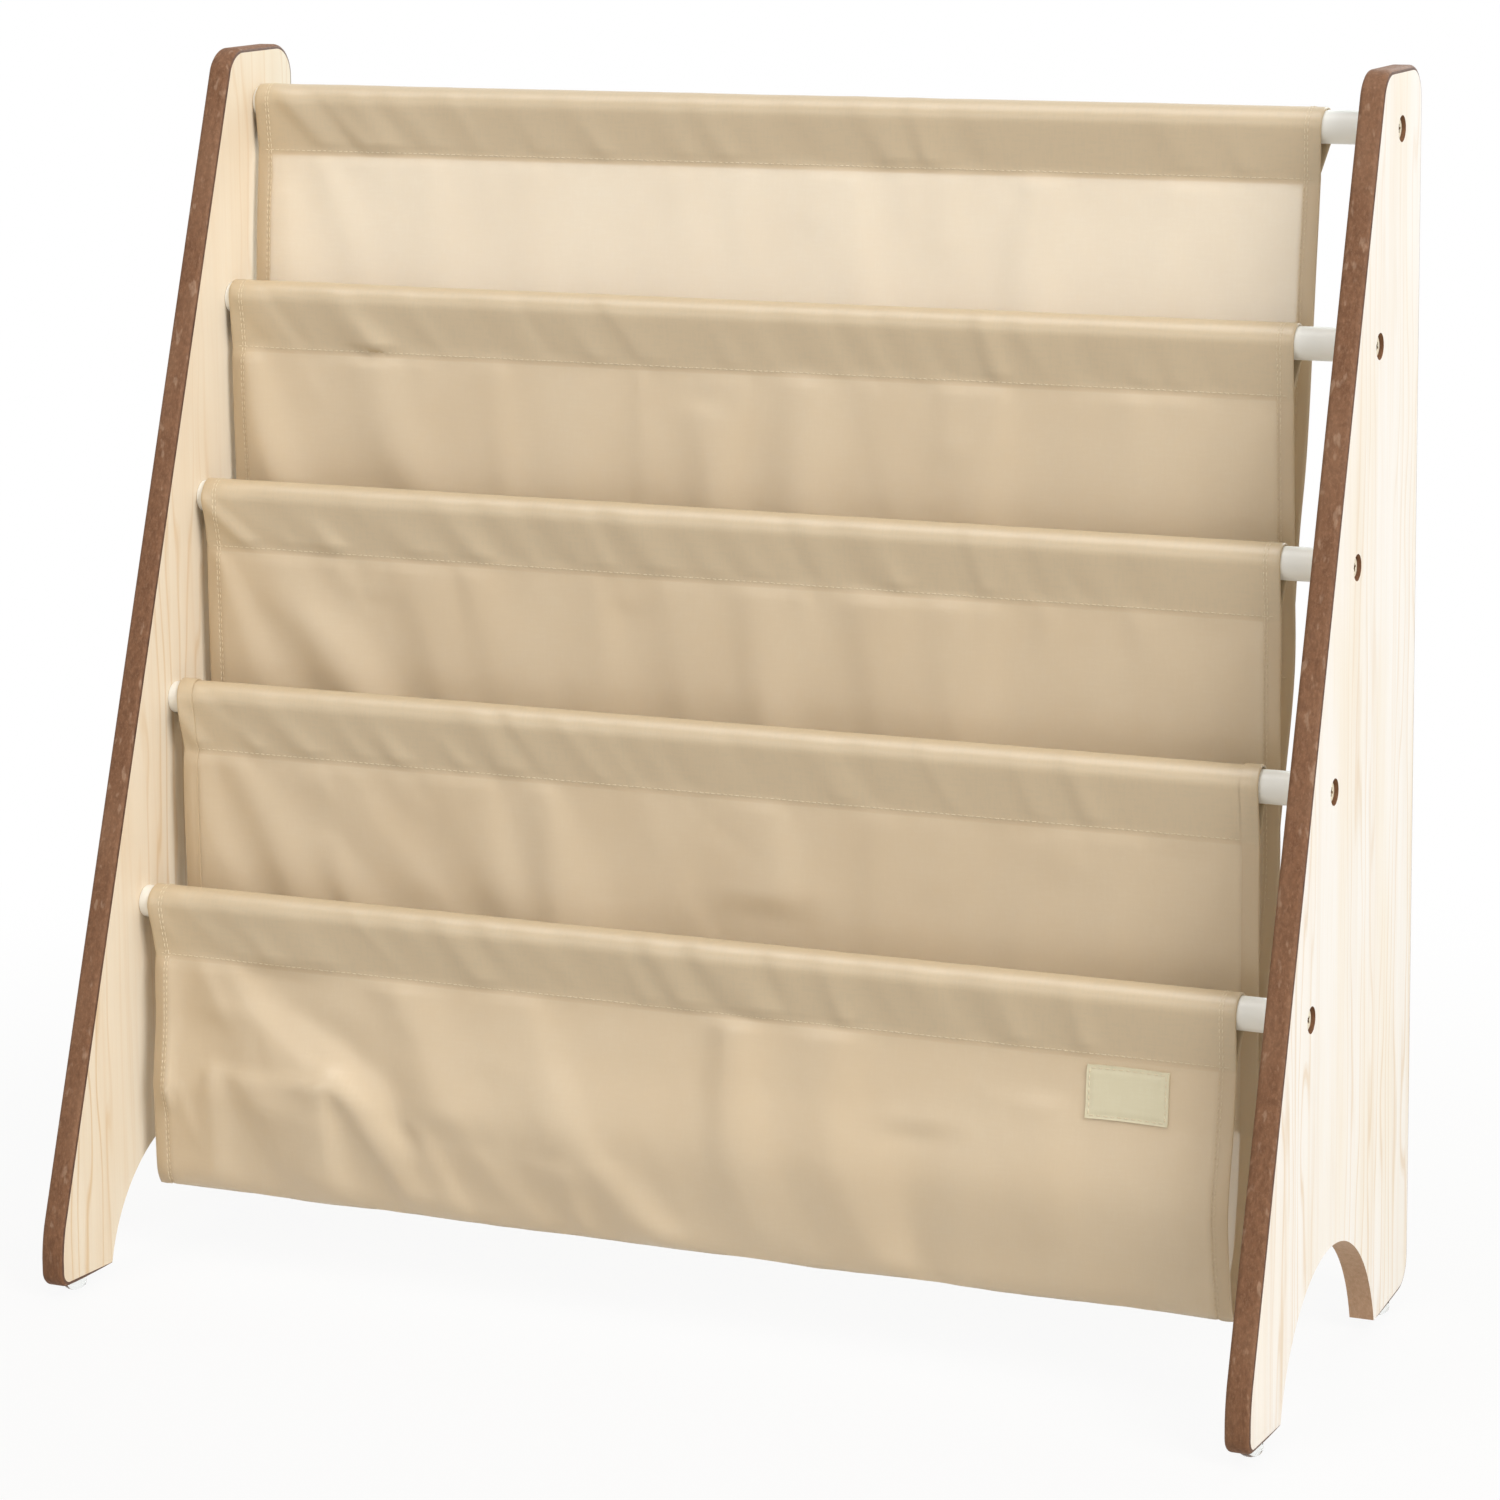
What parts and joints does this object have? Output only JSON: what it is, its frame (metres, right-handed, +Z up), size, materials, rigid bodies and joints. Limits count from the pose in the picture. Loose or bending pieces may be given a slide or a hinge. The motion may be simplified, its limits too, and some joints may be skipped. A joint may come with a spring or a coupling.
{
  "type": "children's sling bookshelf",
  "caption": "Free-standing children's sling bookshelf: tiered sewn cloth pockets hung on cross rods between slanted side panels with arched feet.",
  "frame": {"origin": "centre of the footprint on the floor, where the glides rest", "axes": "+Z up, +X along the rods to the right as seen from the front, the front (the lowest pocket) faces -Y"},
  "size_m": [0.623, 0.261, 0.6069],
  "materials": {
    "panel_board": "pale vertical wood grain printed on both faces, brown fibreboard edges, satin",
    "rod_paint": "white painted dowel, satin",
    "screw_zinc": "yellow zinc plated",
    "glide_plastic": "clear, smooth",
    "sling_cloth": "plain woven, cream, matt",
    "label_cloth": "smooth woven tape, bare, cream"
  },
  "bodies": {
    "root": {"left_side_panel": "panel_board", "right_side_panel": "panel_board", "left_front_glide": "glide_plastic", "left_rear_glide": "glide_plastic", "right_front_glide": "glide_plastic", "right_rear_glide": "glide_plastic", "rod_1": "rod_paint", "rod_2": "rod_paint", "rod_3": "rod_paint", "rod_4": "rod_paint", "rod_5": "rod_paint", "left_screw_1": "screw_zinc", "left_screw_2": "screw_zinc", "left_screw_3": "screw_zinc", "left_screw_4": "screw_zinc", "left_screw_5": "screw_zinc", "right_screw_1": "screw_zinc", "right_screw_2": "screw_zinc", "right_screw_3": "screw_zinc", "right_screw_4": "screw_zinc", "right_screw_5": "screw_zinc", "sling_cloth_1": "sling_cloth", "sling_cloth_2": "sling_cloth", "sling_cloth_3": "sling_cloth", "sling_cloth_4": "sling_cloth", "label_patch": "label_cloth"}
  },
  "joints": []
}
